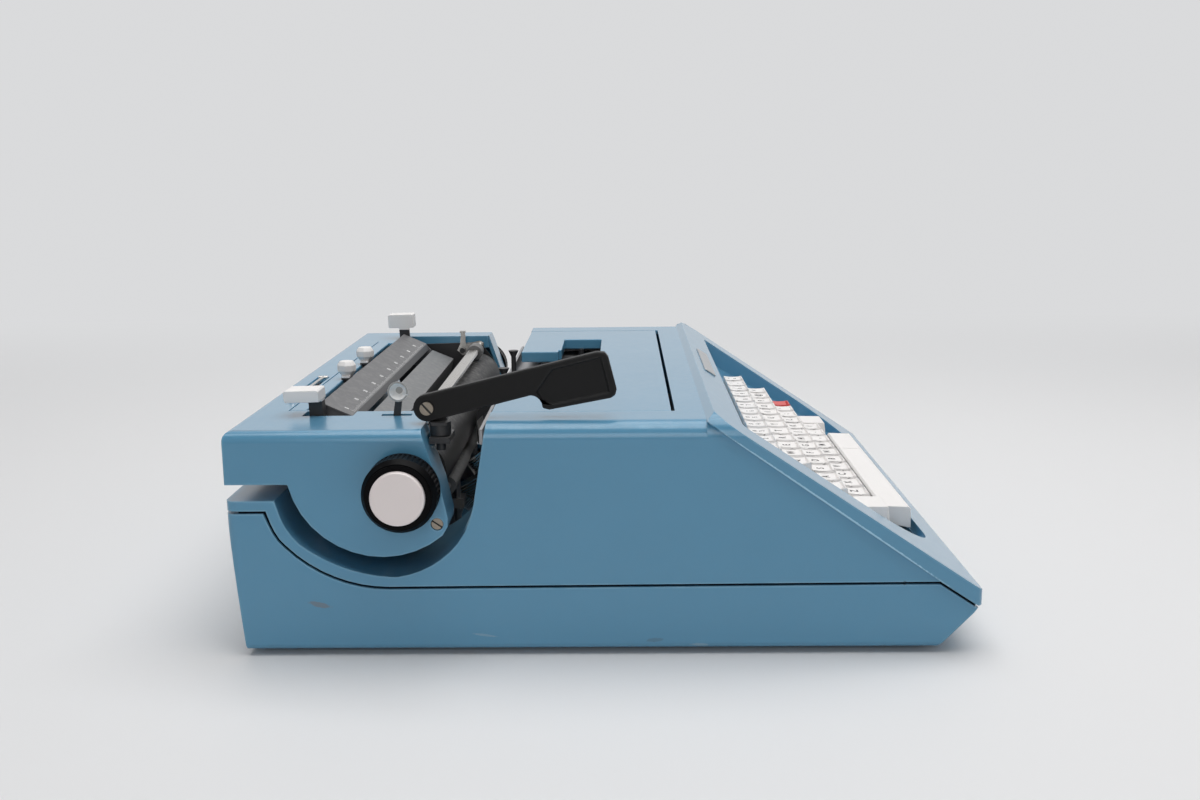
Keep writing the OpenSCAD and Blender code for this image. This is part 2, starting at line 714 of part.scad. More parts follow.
module platen() color([0.16, 0.16, 0.17]) difference() {
    rod(-149, 149, platen_y, platen_z, platen_r);
    rod(-150, 150, platen_y, platen_z, 4);
}

module platen_shaft() color(steel) rod(-199, 199, platen_y, platen_z, 4);

module knob() translate([0, platen_y, platen_z]) difference() {
    union() {
        translate([half + 3, 0, 0]) rotate([0, 90, 0]) cylinder(r = knob_r, h = 12);
        translate([half + 15, 0, 0]) rotate([0, 90, 0]) cylinder(r1 = knob_r, r2 = knob_r - 2, h = 3);
        translate([half + 18, 0, 0]) rotate([0, 90, 0]) cylinder(r = knob_r - 2.6, h = 1);
    }
    for (a = [0 : 7.5 : 352.5]) rotate([a, 0, 0]) translate([half + 5, 0, knob_r + 0.45]) rotate([0, 90, 0])
        cylinder(r = 0.9, h = 9, $fn = 16);
    translate([half, 0, 0]) rotate([0, 90, 0]) cylinder(r = 4, h = 20);
    translate([half + 16, 0, 0]) rotate([0, 90, 0]) cylinder(r = 13.6, h = 10);
    translate([half, 0, 0]) rotate([0, 90, 0]) rotate_extrude() translate([8, 0]) square([7, 12]);
}

module left_knob() color(black) mirror([1, 0, 0]) knob();

module right_knob() color(black) knob();

module knob_caps() color([0.78, 0.74, 0.72]) both_sides() translate([0, platen_y, platen_z]) {
    translate([half + 18, 0, 0]) rotate([0, 90, 0]) cylinder(r = 13.5, h = 3.4);
    translate([half + 21.4, 0, 0]) rotate([0, 90, 0]) cylinder(r1 = 13.5, r2 = 12.9, h = 0.6);
}

module ratchet_wheel() color(steel) difference() {
    across(-151.6, -149.6) translate([platen_y, platen_z])
        polygon([for (i = [0 : 35], t = [0, 1]) (12.5 - 1.6 * t) * [cos(i * 10 + t * 9),
            sin(i * 10 + t * 9)]]);
    rod(-153, -148, platen_y, platen_z, 4);
}

// Scale band and, below it, the plate that leads the paper down behind the platen
module paper_table() color(dark_grey) {
    across(-128, 136) {
        polygon([[152.4, 117], [151.9, 121], [137, 114.4], [135.7, 110.6], [134.6, 111], [136.2, 115.2],
            [152.8, 122.6], [153.5, 117]]);
        polygon([[132.4, 109.3], [117.8, 103.2], [118.8, 99], [120.3, 93], [120.5, 86], [119.4, 86],
            [119.2, 93],
            [117.6, 98.8], [116.4, 103.8], [132, 110.4]]);
    }
    difference() {
        for (x = [-127.6, 134.2]) across(x, x + 1.4) polygon([[136.6, 114.8], [152.3, 121.8],
            [152.9, 117.6],
            [153.2, 100.6], [134, 97.6], [119.8, 92.2], [118.2, 98.9], [117.1, 103.5], [132.1, 109.9]]);
        rod(-130, 140, 134, 104, 2.4);
    }
    rod(-152, -126.8, 149.6, 103.2, 2);
    rod(134.8, 152, 149.6, 103.2, 2);
}

module feed_roller(y, z) {
    rod(-153.5, 153.5, y, z, 2);
    for (x = [-102, -34, 34]) rod(x, x + 68, y, z, x == -34 ? 4.2 : 5);
}

module feed_roller_front() color(dark_grey) feed_roller(90, 69.2);

module feed_roller_rear() color(dark_grey) feed_roller(116.2, 73.2);

bail = [98, 111.6];
bail_roller_x = [-80, 112];

module bail_bar() color([0.75, 0.74, 0.72]) {
    rod(-126, 149.5, bail[0], bail[1], 2);
    // Ribbed flat bar between the rollers
    across(-65.6, 111.6) polygon(concat([[bail[0] + 3.5, bail[1] + 0.4], [bail[0] + 3.5, bail[1] + 2.4]],
        [for (i = [0 : 12]) [bail[0] + 3 - i / 2, bail[1] + 2.4 + (i % 2) * 0.5]],
        [[bail[0] - 3.5, bail[1] + 2.4], [bail[0] - 3.5, bail[1] + 0.4]]));
    for (x = [-126, 147.9]) difference() {
        across(x, x + 1.6) polygon([[95, 109.6], [95, 114], [98, 115.4], [bail_pivot[0] + 2, 112.3],
            [bail_pivot[0] + 4, bail_pivot[1]], [bail_pivot[0], bail_pivot[1] - 4]]);
        rod(x - 1, x + 3, bail_pivot[0], bail_pivot[1], 2.06);
    }
    // Finger tab at the far arm
    across(147.9, 149.5) polygon([[108.4, 111], [108.8, 122.8], [112, 122.8], [112.8, 111]]);
    block(145, 149.5, 108.2, 112.4, 121.6, 123);
}

module bail_rollers() color(dark_grey) for (x = bail_roller_x) difference() {
    rod(x, x + 14, bail[0], bail[1], 5.5);
    rod(x - 1, x + 15, bail[0], bail[1], 2.06);
}

lever_x = -165;
lever_y = 83.4;
lever_pin = [89.7, 126.8];

// Arm and paddle of the return lever, seen from the side
module lever_outline() {
    polygon(concat(arc(lever_pin, 7, -103.5, 76.5, 10), [[3.5, 154.9], [-0.4, 154.6], [-2.2, 152.2],
        [-6.3, 135.6], [-5.6, 132.8], [-3.4, 131.3]], [[27.6, 125.5], [30.8, 126.2]],
        arc([37.6, 126.6], 6.4, 178, 96, 4)));
}

module return_lever() color([0.13, 0.13, 0.14]) difference() {
    across(lever_x - 2.2, lever_x + 2.4) lever_outline();
    // Dished paddle
    across(lever_x - 3, lever_x - 1) polygon([[34, 134.6], [30.6, 129], [26, 128.4], [-2.6, 134.4],
        [1.6, 152],
        [26, 146]]);
    rod(lever_x - 5, lever_x + 5, lever_pin[0], lever_pin[1], 2.56);
}

module lever_hub() color(dark_grey) {
    post(lever_x, lever_y, 105, 113, 2.5);
    post(lever_x, lever_y, 113, 119.8, 5.4);
    block(lever_x - 5.4, lever_x + 7.6, lever_y - 4, lever_y + 4, 118.3, 119.8);
    across(lever_x + 2.6, lever_x + 7.6) polygon(concat([[lever_y - 4, 118.3], [lever_y + 5, 118.3],
        [lever_y + 9,
        119.8]], arc(lever_pin, 6.4, -70, 180, 10)));
    // Slotted screw through the lever
    difference() {
        union() {
            rod(lever_x - 2.4, lever_x + 2.6, lever_pin[0], lever_pin[1], 2.5);
            rod(lever_x - 3.8, lever_x - 2.4, lever_pin[0], lever_pin[1], 3.4);
        }
        translate([lever_x - 4, lever_pin[0], lever_pin[1]]) rotate([48, 0, 0]) translate([0, -6, -0.5])
            cube([1, 12, 1]);
    }
}

module line_space_lever() {
    color(dark_grey) difference() {
        union() {
            rod(selector_x - 2, selector_x + 2, bail_pivot[0], bail_pivot[1], 4);
            across(selector_x - 1, selector_x + 1) polygon([[113, 110], [109, 110], [106.8, 127],
                [110.2, 127]]);
        }
        rod(selector_x - 3, selector_x + 3, bail_pivot[0], bail_pivot[1], 2.06);
    }
    // Cupped knob that faces the operator's left
    color([0.9, 0.9, 0.89]) difference() {
        translate([selector_x - 3.5, 108.4, 131]) rotate([0, 90, 0]) cylinder(r1 = 5.4, r2 = 3.4, h = 7);
        translate([selector_x - 4, 108.4, 131]) rotate([0, 90, 0]) cylinder(r1 = 4.6, r2 = 1.8, h = 5);
    }
}

module release_cap(x0, x1, y0, z0, h) {
    across(x0, x1) translate([y0, z0]) polygon([[0, 0.4], [17.6, 0], [18.4, 0.8], [18.6, h - 0.8], [17.8, h],
        [1.2, h + 0.3], [0.4, h - 0.4]]);
}

module release_levers() {
    color(black) {
        rod(-153.6, 153.6, 134, 104, 2);
        for (x = [-139.5, 139]) across(x, x + (x < 0 ? 7 : 3)) polygon(concat(arc([134, 104],
            4, 140, 320, 6),
            [[152.6, 109], [156.2, 114], [156.8, 127], [149.6, 127], [149, 116.5]]));
    }
    color([0.93, 0.93, 0.92]) {
        release_cap(-146.5, -130.6, 149.4, 125.9, 6.2);
        release_cap(139, 152.4, 146.2, 126.6, 9.8);
    }
}

module margin_stop(x) color([0.93, 0.93, 0.92]) {
    translate([x, slot_y, 120.6]) cylinder(r1 = 3.8, r2 = 5.8, h = 2.6, $fn = 8);
    translate([x, slot_y, 123.2]) cylinder(r = 5.8, h = 3.6, $fn = 8);
    translate([x, slot_y, 126.8]) cylinder(r1 = 5.8, r2 = 4.2, h = 2.4, $fn = 8);
    difference() {
        block(x - 3, x + 3, slot_y - 1.4, slot_y + 1.4, 101.6, 120.6);
        rod(x - 4, x + 4, slot_y, 105, 2.06);
    }
    block(x - 5, x + 5, slot_y - 2.6, slot_y + 2.6, cover_z + 0.3, 120.6);
}

module margin_stop_left() margin_stop(-29);

module margin_stop_right() margin_stop(27.6);

module support_wire() color(steel) {
    rod(-98, -24, 176, cover_z + 0.2, 1);
    translate([-99, 176, cover_z + 0.9]) sphere(1.9);
    translate([-24, 173.2, cover_z + 0.2]) rotate([-90, 0, 0]) cylinder(r = 1, h = 5.6);
}

module cover_screws() color([0.6, 0.57, 0.5]) both_sides() difference() {
    union() {
        rod(-half + 0.6, -half + 3, cheek_screw[0], cheek_screw[1], 3);
        rod(-half + 3, -154, cheek_screw[0], cheek_screw[1], 1.6);
    }
    translate([-half, cheek_screw[0], cheek_screw[1]]) rotate([35, 0, 0]) translate([0, -5,
        -0.35]) cube([1.3, 10, 0.7]);
}

base_shell();
upper_shell();
ribbon_cover();
name_plate();
rubber_feet();
side_frames();
cross_bars();
carriage_bed();
spring_drum();
escape_wheel();
bell();
type_segment();
typebars();
centre_typebar();
type_guide();
ribbon_vibrator();
ribbon_spool_left();
ribbon_spool_right();
spool_cups();
key_fulcrum();
row_1_keys();
row_2_keys();
row_3_keys();
row_4_keys();
row_1_levers();
row_2_levers();
row_3_levers();
row_4_levers();
space_bar();
space_arms();
spacer_key();
left_shift_key();
right_shift_key();
shift_frame();
lock_key();
tab_key();
centre_key();
carriage_cover();
cover_insert();
end_plates();
carriage_rail();
platen();
platen_shaft();
left_knob();
right_knob();
knob_caps();
ratchet_wheel();
paper_table();
feed_roller_front();
feed_roller_rear();
bail_bar();
bail_rollers();
return_lever();
lever_hub();
line_space_lever();
release_levers();
margin_stop_left();
margin_stop_right();
support_wire();
cover_screws();
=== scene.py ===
import bpy
import bmesh
import math
from mathutils import Vector, Matrix
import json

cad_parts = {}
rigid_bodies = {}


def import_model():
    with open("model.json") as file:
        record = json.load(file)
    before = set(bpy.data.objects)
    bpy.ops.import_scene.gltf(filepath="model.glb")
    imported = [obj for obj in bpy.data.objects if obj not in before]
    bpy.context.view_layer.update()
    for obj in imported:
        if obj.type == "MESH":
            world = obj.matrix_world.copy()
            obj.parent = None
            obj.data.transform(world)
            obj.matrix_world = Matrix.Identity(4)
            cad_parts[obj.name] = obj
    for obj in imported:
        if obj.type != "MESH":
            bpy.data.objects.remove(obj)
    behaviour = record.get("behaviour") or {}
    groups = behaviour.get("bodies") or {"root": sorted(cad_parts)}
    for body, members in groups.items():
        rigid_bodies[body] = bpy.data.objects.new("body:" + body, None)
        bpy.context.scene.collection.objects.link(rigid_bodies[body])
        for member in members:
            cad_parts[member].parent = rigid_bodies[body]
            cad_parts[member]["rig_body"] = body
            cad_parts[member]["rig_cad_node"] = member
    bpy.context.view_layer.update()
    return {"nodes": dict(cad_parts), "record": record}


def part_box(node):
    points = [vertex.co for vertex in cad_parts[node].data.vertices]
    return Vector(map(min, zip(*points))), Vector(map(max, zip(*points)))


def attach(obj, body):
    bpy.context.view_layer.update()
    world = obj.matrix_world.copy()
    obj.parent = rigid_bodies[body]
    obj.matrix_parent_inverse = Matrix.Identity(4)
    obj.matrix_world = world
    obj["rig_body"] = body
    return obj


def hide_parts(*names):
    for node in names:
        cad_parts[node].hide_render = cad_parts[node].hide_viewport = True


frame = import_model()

nodes = frame["nodes"]
bodyOf = {n: b for b, ns in frame["record"]["behaviour"]["bodies"].items() for n in ns}
slotOf = {p["node"]: p["material_slot"] for p in frame["record"]["subparts"]}
mm = 0.001
print("stage 1: frame loaded")

# Camera, as fitted to the photograph

camera = {
    "place": (-787.1 * mm, -8.9 * mm, 250.9 * mm),
    "yaw": 1.02,
    "pitch": 11.0,
    "roll": -0.64,
    "lens": 37.64,
    "sensor": 36,
    "clip": 0.01,
}


def setCamera():
    yaw, pitch, roll = (math.radians(camera[k]) for k in ("yaw", "pitch", "roll"))
    look = Vector((math.cos(pitch) * math.cos(yaw), math.cos(pitch) * math.sin(yaw), -math.sin(pitch)))
    right = Vector((math.sin(yaw), -math.cos(yaw), 0))
    up = right.cross(look)
    turnedRight = math.cos(roll) * right + math.sin(roll) * up
    turnedUp = -math.sin(roll) * right + math.cos(roll) * up
    data = bpy.data.cameras.new("camera")
    data.lens = camera["lens"]
    data.sensor_width = camera["sensor"]
    data.clip_start = camera["clip"]
    ob = bpy.data.objects.new("camera", data)
    bpy.context.scene.collection.objects.link(ob)
    turn = Matrix((turnedRight, turnedUp, -look)).transposed()
    ob.matrix_world = Matrix.Translation(camera["place"]) @ turn.to_4x4()
    bpy.context.scene.camera = ob


setCamera()
bpy.context.scene.view_settings.view_transform = "Standard"

# Shader groups

color, number, vector = "NodeSocketColor", "NodeSocketFloat", "NodeSocketVector"


def newGroup(name, inputs, outputs):
    tree = bpy.data.node_groups.new(name, "ShaderNodeTree")
    for label, kind, value in inputs:
        socket = tree.interface.new_socket(name=label, in_out="INPUT", socket_type=kind)
        if value is None:
            socket.hide_value = True
        else:
            socket.default_value = value
    for label, kind in outputs:
        tree.interface.new_socket(name=label, in_out="OUTPUT", socket_type=kind)
    return tree, tree.nodes.new("NodeGroupInput").outputs, tree.nodes.new("NodeGroupOutput").inputs


# A value that is a socket is linked, and any other is set
def addNode(tree, kind, values=None, **settings):
    node = tree.nodes.new(kind)
    for key, value in settings.items():
        setattr(node, key, value)
    for key, value in (values or {}).items():
        if isinstance(value, bpy.types.NodeSocket):
            tree.links.new(value, node.inputs[key])
        else:
            node.inputs[key].default_value = value
    return node


def calculate(tree, operation, *values):
    return addNode(tree, "ShaderNodeMath", dict(enumerate(values)), operation=operation).outputs[0]


def mapRange(tree, value, low, high, floor=0.0, **settings):
    return addNode(tree, "ShaderNodeMapRange", {"Value": value, "From Min": low, "From Max": high, "To Min": floor},
                   **settings).outputs["Result"]


def noise(tree, where, **values):
    node = addNode(tree, "ShaderNodeTexNoise", {"Vector": where, **{k.title(): v for k, v in values.items()}})
    return node.outputs["Fac"]


def mixColor(tree, share, first, second):
    node = addNode(tree, "ShaderNodeMix", data_type="RGBA")
    for key, socket in (("Factor", share), ("A", first), ("B", second)):
        tree.links.new(socket, node.inputs[key])
    return node.outputs["Result"]


def objectPlace(tree):
    return addNode(tree, "ShaderNodeTexCoord").outputs["Object"]


# Even finish broken up: a slow drift of tone, fine grain in the surface and uneven gloss
def grainGroup():
    tree, given, out = newGroup("grain", [
        ("Color", color, (0.5, 0.5, 0.5, 1)), ("Drift", number, 0.06),
        ("Roughness", number, 0.4), ("Roughness Spread", number, 0.08),
        ("Grain Scale", number, 900.0), ("Grain Depth", number, 0.00002), ("Normal", vector, None)],
        [("Color", color), ("Roughness", number), ("Normal", vector)])
    where = objectPlace(tree)
    slow = noise(tree, where, scale=9.0, detail=4.0, roughness=0.55)
    fine = noise(tree, where, scale=given["Grain Scale"], detail=3.0)
    smear = noise(tree, where, scale=45.0, detail=6.0, roughness=0.65)
    shift = calculate(tree, "MULTIPLY", calculate(tree, "SUBTRACT", slow, 0.5), given["Drift"])
    tone = addNode(tree, "ShaderNodeHueSaturation",
                   {"Color": given["Color"], "Value": calculate(tree, "ADD", shift, 1.0)})
    uneven = calculate(tree, "SUBTRACT", smear, 0.5)
    rough = calculate(tree, "MULTIPLY_ADD", uneven, given["Roughness Spread"], given["Roughness"])
    bump = addNode(tree, "ShaderNodeBump", {"Strength": 0.5, "Distance": given["Grain Depth"], "Height": fine,
                                            "Normal": given["Normal"]})
    tree.links.new(tone.outputs["Color"], out["Color"])
    tree.links.new(rough, out["Roughness"])
    tree.links.new(bump.outputs["Normal"], out["Normal"])
    return tree


# Dust that lies on faces turned up, and small scattered marks
def dustGroup():
    tree, given, out = newGroup("dust", [
        ("Color", color, (0.5, 0.5, 0.5, 1)), ("Dust Color", color, (0.55, 0.53, 0.5, 1)),
        ("Amount", number, 0.2), ("Mark Color", color, (0.2, 0.2, 0.2, 1)), ("Marks", number, 0.0)],
        [("Color", color)])
    where = objectPlace(tree)
    facing = addNode(tree, "ShaderNodeNewGeometry").outputs["Normal"]
    upward = mapRange(tree, addNode(tree, "ShaderNodeSeparateXYZ", {0: facing}).outputs["Z"], 0.3, 1.0)
    specks = mapRange(tree, noise(tree, where, scale=220.0, detail=5.0, roughness=0.7), 0.45, 0.75)
    level = calculate(tree, "MULTIPLY", calculate(tree, "MULTIPLY", upward, specks), given["Amount"])
    dusty = mixColor(tree, level, given["Color"], given["Dust Color"])
    chips = mapRange(tree, noise(tree, where, scale=60.0, detail=8.0, roughness=0.75), 0.69, 0.72)
    share = calculate(tree, "MULTIPLY", chips, given["Marks"])
    tree.links.new(mixColor(tree, share, dusty, given["Mark Color"]), out["Color"])
    return tree


# Painted highlight and wear: finish made paler along outer edges, found by how thin the piece is just under the
# surface; the pale rim stands for the highlight that rounded edges catch as well as for worn paint
def rubGroup():
    tree, given, out = newGroup("rubAndHighlight", [
        ("Color", color, (0.5, 0.5, 0.5, 1)), ("Rubbed And Highlight Color", color, (0.7, 0.7, 0.7, 1)),
        ("Amount", number, 0.6), ("Reach", number, 0.0012)], [("Color", color)])
    thin = addNode(tree, "ShaderNodeAmbientOcclusion", {"Distance": given["Reach"]}, samples=6, inside=True,
                   only_local=True)
    edge = mapRange(tree, thin.outputs["AO"], 0.92, 0.62)
    patchy = mapRange(tree, noise(tree, objectPlace(tree), scale=70.0, detail=3.0), 0.35, 0.62, 0.2)
    share = calculate(tree, "MULTIPLY", calculate(tree, "MULTIPLY", edge, patchy), given["Amount"])
    tree.links.new(mixColor(tree, share, given["Color"], given["Rubbed And Highlight Color"]), out["Color"])
    return tree


# One scuff, stain or painted highlight: a tilted oval with a ragged rim at a set place on the surface
def scuffGroup():
    tree, given, out = newGroup("scuffAndHighlight", [
        ("Color", color, (0.5, 0.5, 0.5, 1)), ("Scuff And Highlight Color", color, (0.3, 0.3, 0.3, 1)),
        ("Amount", number, 0.8), ("Center", vector, (0, 0, 0)),
        ("Tilt", vector, (0, 0, 0)), ("Size", vector, (0.01, 0.01, 0.01))], [("Color", color)])
    where = objectPlace(tree)
    local = addNode(tree, "ShaderNodeMapping", {"Vector": where, "Location": given["Center"],
                                                "Rotation": given["Tilt"], "Scale": given["Size"]},
                    vector_type="TEXTURE")
    away = addNode(tree, "ShaderNodeVectorMath", {0: local.outputs["Vector"]}, operation="LENGTH").outputs["Value"]
    ragged = noise(tree, where, scale=420.0, detail=5.0, roughness=0.7)
    inside = mapRange(tree, calculate(tree, "MULTIPLY_ADD", ragged, 0.9, away), 1.2, 1.0)
    share = calculate(tree, "MULTIPLY", inside, given["Amount"])
    tree.links.new(mixColor(tree, share, given["Color"], given["Scuff And Highlight Color"]), out["Color"])
    return tree


grain, dust, rubAndHighlight, scuffAndHighlight = grainGroup(), dustGroup(), rubGroup(), scuffGroup()

# Centre, half size, tilt about X in degrees, color and amount of each mark on the case; the last is a painted
# highlight, a thin pale line along the lower edge of the keyboard band
caseScuffsAndHighlight = [((-181, 146, 27.7), (6, 8, 2.2), 12, (0.17, 0.14, 0.12), 0.55),
              ((-181, -24.8, 8.0), (6, 6, 1.6), -4, (0.08, 0.14, 0.19), 0.5),
              ((-181, -47.8, 5.2), (6, 7, 1.4), 3, (0.30, 0.42, 0.50), 0.5),
              ((-181, -150.9, 37.8), (6, 1.6, 1.6), 0, (0.04, 0.07, 0.10), 0.7),
              ((-181, 189.5, 26), (6, 1.8, 20), 0, (0.03, 0.035, 0.04), 0.85),
              ((-181, 62, 11), (6, 9, 0.9), 8, (0.28, 0.40, 0.48), 0.4),
              # Painted highlight: a thin pale line standing for light caught by the lower edge of the keyboard band
              ((-183.5, -115.2, 76.8), (2, 98, 1.1), 35, (0.36, 0.62, 0.80), 0.9)]

coatRoughness = 0.2
edgeSamples = 6


# round is how far edges look rounded, in mm
def paintMaterial(name, tint, rough, metallic=0.0, coat=0.0, drift=0.1, spread=0.1, scale=900.0, depth=0.00002,
                  dustAmount=0.15, marks=0.0, markColor=(0.2, 0.2, 0.2), shine=0.5, round=0.0, rubbedAndHighlight=None,
                  scuffsAndHighlights=()):
    mat = bpy.data.materials.new(name)
    mat.use_nodes = True
    tree = mat.node_tree
    shader = tree.nodes["Principled BSDF"]
    for key, value in {"Metallic": metallic, "Coat Weight": coat, "Coat Roughness": coatRoughness,
                       "Specular IOR Level": shine}.items():
        shader.inputs[key].default_value = value
    base = addNode(tree, "ShaderNodeGroup", node_tree=grain)
    for key, value in {"Color": (*tint, 1), "Drift": drift, "Roughness": rough, "Roughness Spread": spread,
                       "Grain Scale": scale, "Grain Depth": depth}.items():
        base.inputs[key].default_value = value
    surface = base.outputs["Color"]
    # The pale rim colour along edges is a painted highlight as well as wear
    layers = [(rubAndHighlight, {"Rubbed And Highlight Color": (*rubbedAndHighlight, 1)})] if rubbedAndHighlight else []
    layers += [(scuffAndHighlight, {"Scuff And Highlight Color": (*spotTint, 1), "Amount": amount, "Center": [c * mm for c in center],
                        "Tilt": (math.radians(tilt), 0, 0), "Size": [c * mm for c in size]})
               for center, size, tilt, spotTint, amount in scuffsAndHighlights]
    layers.append((dust, {"Amount": dustAmount, "Marks": marks, "Mark Color": (*markColor, 1)}))
    for group, values in layers:
        layer = addNode(tree, "ShaderNodeGroup", node_tree=group)
        for key, value in values.items():
            layer.inputs[key].default_value = value
        tree.links.new(surface, layer.inputs["Color"])
        surface = layer.outputs["Color"]
    tree.links.new(surface, shader.inputs["Base Color"])
    tree.links.new(base.outputs["Roughness"], shader.inputs["Roughness"])
    if round:
        soft = addNode(tree, "ShaderNodeBevel", {"Radius": round * mm}, samples=edgeSamples)
        tree.links.new(soft.outputs["Normal"], base.inputs["Normal"])
    tree.links.new(base.outputs["Normal"], shader.inputs["Normal"])
    return mat


finish = {
    # casePaint and leverEnamel carry a pale rim along their edges: painted highlight mixed with wear
    "case_paint": paintMaterial(
        "casePaint", (0.093, 0.276, 0.432), 0.34, coat=1.0, shine=0.1, drift=0.10, scale=1500.0, depth=0.000006,
        dustAmount=0.06, marks=0.4, markColor=(0.2, 0.22, 0.22), round=0.9, rubbedAndHighlight=(0.22, 0.44, 0.60),
        scuffsAndHighlights=caseScuffsAndHighlight),
    "ivory_plastic": paintMaterial("keyPlastic", (0.88, 0.855, 0.84), 0.42, drift=0.05, dustAmount=0.05, round=0.7),
    "red_plastic": paintMaterial("redPlastic", (0.66, 0.075, 0.07), 0.4, drift=0.06, dustAmount=0.05),
    "black_plastic": paintMaterial("knobPlastic", (0.0025, 0.0025, 0.003), 0.38, drift=0.2, dustAmount=0.01,
                                   shine=0.06),
    "cap_metal": paintMaterial("knobCap", (0.80, 0.73, 0.72), 0.3, drift=0.05, dustAmount=0.05),
    "lever_paint": paintMaterial("leverEnamel", (0.007, 0.007, 0.0075), 0.42, drift=0.2, dustAmount=0.03,
                                 shine=0.22, round=0.9, rubbedAndHighlight=(0.07, 0.07, 0.07)),
    "steel": paintMaterial("platedSteel", (0.42, 0.42, 0.43), 0.38, 1.0, drift=0.2, spread=0.25),
    "dark_metal": paintMaterial("blackenedSheet", (0.035, 0.035, 0.037), 0.45, 0.3, drift=0.25, dustAmount=0.3),
    "nickel": paintMaterial("nickel", (0.66, 0.64, 0.61), 0.24, 1.0, drift=0.12, spread=0.2),
    "platen_rubber": paintMaterial("platenRubber", (0.028, 0.028, 0.029), 0.55, drift=0.25, dustAmount=0.35),
    "grey_rubber": paintMaterial("greyRubber", (0.16, 0.16, 0.16), 0.6, drift=0.2, dustAmount=0.3),
    "foot_rubber": paintMaterial("footRubber", (0.02, 0.02, 0.02), 0.75, drift=0.2),
    "plate_metal": paintMaterial("plateMetal", (0.56, 0.57, 0.58), 0.3, 1.0, drift=0.08),
    "bell_metal": paintMaterial("bellMetal", (0.55, 0.43, 0.2), 0.3, 1.0, drift=0.2, spread=0.2),
    "scale_metal": paintMaterial("scaleEnamel", (0.13, 0.13, 0.135), 0.42, drift=0.12, dustAmount=0.2),
    "screw_metal": paintMaterial("screwPlate", (0.30, 0.265, 0.22), 0.36, 1.0, drift=0.25),
    "ribbon_black": paintMaterial("ribbonInk", (0.012, 0.012, 0.013), 0.7, drift=0.3, scale=2600.0,
                                  depth=0.00006),
}
# Black ink for key legends; also used as painted shade inside the screw slots
legendInkAndSlotShade = paintMaterial("legendInkAndSlotShade", (0.03, 0.03, 0.032), 0.5, dustAmount=0.0)
scaleInk = paintMaterial("scaleInk", (0.8, 0.8, 0.8), 0.5, drift=0.2, dustAmount=0.0)
# Near-black painted shade for the inner lip at the parting line, standing for the shade deep in the gap
lapPaintedShade = paintMaterial("lapPaintedShade", (0.005, 0.010, 0.016), 0.7, dustAmount=0.0, shine=0.05)
# Lit and shaded copies of the knob's white plastic: a paler one so the selector knob face reads lit, a grey one as
# painted shade in its recess
paintedLightPlastic = paintMaterial("paintedLightPlastic", (0.93, 0.915, 0.90), 0.36, drift=0.04, dustAmount=0.03)
recessShadePlastic = paintMaterial("recessShadePlastic", (0.42, 0.40, 0.38), 0.5, drift=0.05, dustAmount=0.0)
plateGrey = paintMaterial("plateGrey", (0.20, 0.205, 0.21), 0.42, 0.4, dustAmount=0.25)

for name, ob in nodes.items():
    ob.data.materials.clear()
    ob.data.materials.append(finish[slotOf[name]])
print("stage 2: finishes")


# Pieces that stand for a CAD node with softened edges, some of them cut where one finish meets another

cutHeight = {"release_levers": 125.4, "line_space_lever": 125.4, "margin_stop_left": 119.4,
             "margin_stop_right": 119.4}
capNodes = ("row_1_keys", "row_2_keys", "row_3_keys", "row_4_keys", "centre_key", "tab_key", "lock_key")
merge = {"reach": 0.000005, "flatAngle": 0.5, "edgeAngle": 30, "smoothAngle": 35}

# Bevel width in mm and segments
softEdges = {
    "upper_shell": (0.8, 3), "base_shell": (0.8, 3), "ribbon_cover": (0.6, 2), "carriage_cover": (0.8, 3),
    "cover_insert": (0.5, 2), "return_lever": (0.9, 3), "space_bar": (1.0, 3), "release_levers": (0.6, 2),
    "name_plate": (0.25, 2), "left_shift_key": (0.9, 3), "right_shift_key": (0.9, 3), "spacer_key": (0.5, 2),
    "margin_stop_left": (0.5, 2), "margin_stop_right": (0.5, 2), "left_knob": (0.35, 2),
    "right_knob": (0.35, 2), "knob_caps": (0.5, 3), "lever_hub": (0.3, 2), "line_space_lever": (0.25, 2),
    "paper_table": (0.2, 2), "row_1_keys": (0.3, 2), "row_2_keys": (0.3, 2), "row_3_keys": (0.3, 2),
    "row_4_keys": (0.3, 2), "centre_key": (0.3, 2), "tab_key": (0.3, 2), "lock_key": (0.3, 2),
    "end_plates": (0.3, 2), "bail_rollers": (0.5, 2), "cover_screws": (0.15, 2),
}

# How far in from the rim and how far down each ring of a rounded key top lies, and how deep a top reaches
rings = [(0.0, 1.0), (0.2, 0.42), (0.4, 0.12), (0.6, 0.0)]
topDepth = 2.6


def onlySelect(obs):
    bpy.ops.object.select_all(action="DESELECT")
    for ob in obs:
        ob.select_set(True)
    bpy.context.view_layer.objects.active = obs[-1]


def boundaryOf(faces):
    inside = set(faces)
    return {v for face in faces for edge in face.edges if any(f not in inside for f in edge.link_faces)
            for v in edge.verts}


def roundTops(ob, top):
    bm = bmesh.new()
    bm.from_mesh(ob.data)
    faces = [f for f in bm.faces if f.normal.z > 0.8 and f.calc_center_median().z > top - topDepth * mm]
    lower = [(boundaryOf(faces), rings[0][1])]
    for step, drop in rings[1:]:
        bmesh.ops.inset_region(bm, faces=faces, thickness=step * mm, use_even_offset=True)
        lower.append((boundaryOf(faces), drop))
    for verts, drop in lower:
        for v in verts:
            v.co.z -= drop * mm
    bm.to_mesh(ob.data)
    bm.free()


